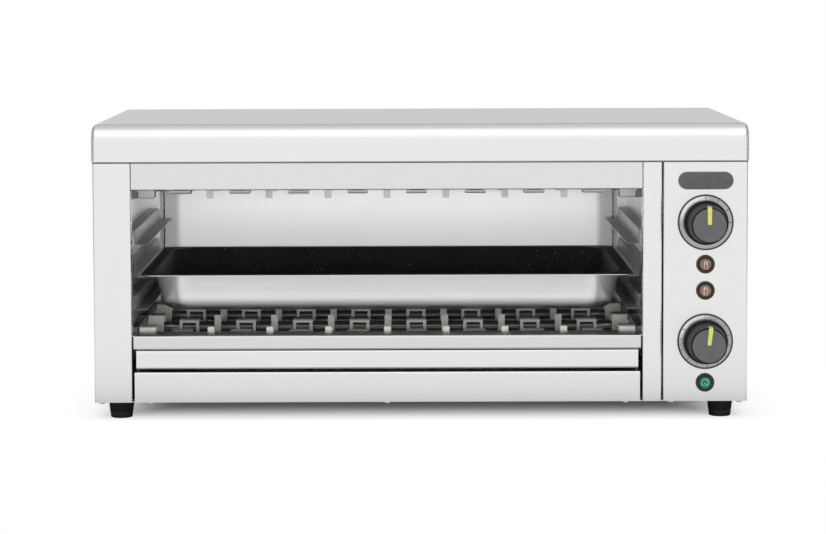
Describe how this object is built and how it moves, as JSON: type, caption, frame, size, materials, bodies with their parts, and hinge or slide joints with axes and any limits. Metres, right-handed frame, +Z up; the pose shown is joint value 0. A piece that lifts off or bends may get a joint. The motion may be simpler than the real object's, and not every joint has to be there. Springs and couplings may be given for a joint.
{
  "type": "salamander grill",
  "caption": "Countertop salamander grill: rolled lid, open cavity with rack rails and pan, quartz tubes above and below, crumb tray, side control box with knobs and lamps.",
  "frame": {"origin": "under the centre of the object's bounding box, on the surface that the feet stand on", "axes": "+X to the right as seen from the front, +Y to the back, +Z up"},
  "size_m": [0.6974, 0.427, 0.316],
  "materials": {
    "stainless": "brushed",
    "polished_stainless": "bright annealed",
    "rack_steel": "satin",
    "guard_steel": "satin, slightly warm from heat",
    "galvanised_steel": "galvanised",
    "pan_steel": "bright drawn stainless outside, black speckled non-stick inside",
    "knob_plastic": "fine grained",
    "pointer_plastic": "satin",
    "shaft_steel": "turned",
    "dial_aluminium": "satin anodised, printed",
    "lamp_black": "gloss",
    "lens_plastic": "clear tinted",
    "badge_black": "gloss black dome with a pale metal edge",
    "quartz": "frosted",
    "ceramic": "unglazed ceramic",
    "moulded_black": "moulded",
    "moulded_ivory": "moulded",
    "rubber": "matte",
    "screw_steel": "zinc plated"
  },
  "bodies": {
    "casing": {"back_panel": "galvanised_steel", "badge_plate": "badge_black", "base_plate": "galvanised_steel", "cable_gland": "moulded_black", "cavity_rear_wall": "polished_stainless", "control_panel": "stainless", "dial_plates": "dial_aluminium", "divider_wall": "stainless", "feet": "rubber", "front_shelf": "stainless", "header_strip": "stainless", "lamp_bezels": "lamp_black", "lamp_lenses": "lens_plastic", "lid": "stainless", "lower_bracket_left": "galvanised_steel", "lower_bracket_right": "galvanised_steel", "lower_front_panel": "stainless", "lower_guard_1": "guard_steel", "lower_guard_2": "guard_steel", "lower_guard_3": "guard_steel", "lower_tube_1": "quartz", "lower_tube_2": "quartz", "lower_tube_3": "quartz", "rack_rails_left": "rack_steel", "rack_rails_right": "rack_steel", "reflector": "polished_stainless", "screws": "screw_steel", "selector_switch": "moulded_black", "side_liner_left": "polished_stainless", "side_liner_right": "polished_stainless", "side_panel_left": "stainless", "side_panel_right": "stainless", "terminal_block": "moulded_ivory", "timer_unit": "moulded_ivory", "tray_runner_left": "galvanised_steel", "tray_runner_right": "galvanised_steel", "tube_end_caps": "ceramic", "upper_bracket_left": "galvanised_steel", "upper_bracket_right": "galvanised_steel", "upper_guard_1": "guard_steel", "upper_guard_2": "guard_steel", "upper_guard_3": "guard_steel", "upper_tube_1": "quartz", "upper_tube_2": "quartz", "upper_tube_3": "quartz"},
    "selector": {"knob_selector": "knob_plastic", "pointer_selector": "pointer_plastic", "shaft_selector": "shaft_steel"},
    "timer_dial": {"knob_timer": "knob_plastic", "pointer_timer": "pointer_plastic", "shaft_timer": "shaft_steel"},
    "crumb_drawer": {"crumb_tray": "stainless"},
    "pan": {"gn_pan": "pan_steel"}
  },
  "joints": [
    {"name": "selector_turn", "type": "hinge", "parent": "casing", "child": "selector", "pos_m": [0.30268, -0.19, 0.211], "axis": [0, 1, 0], "range_deg": [0, 90]},
    {"name": "timer_turn", "type": "hinge", "parent": "casing", "child": "timer_dial", "pos_m": [0.30268, -0.19, 0.084], "axis": [0, 1, 0], "range_deg": [-6.5, 293.5]},
    {"name": "crumb_tray_slide", "type": "slide", "parent": "casing", "child": "crumb_drawer", "axis": [0, -1, 0], "range_m": [0, 0.3]},
    {"name": "pan_slide", "type": "slide", "parent": "casing", "child": "pan", "axis": [0, -1, 0], "range_m": [0, 0.3]}
  ]
}
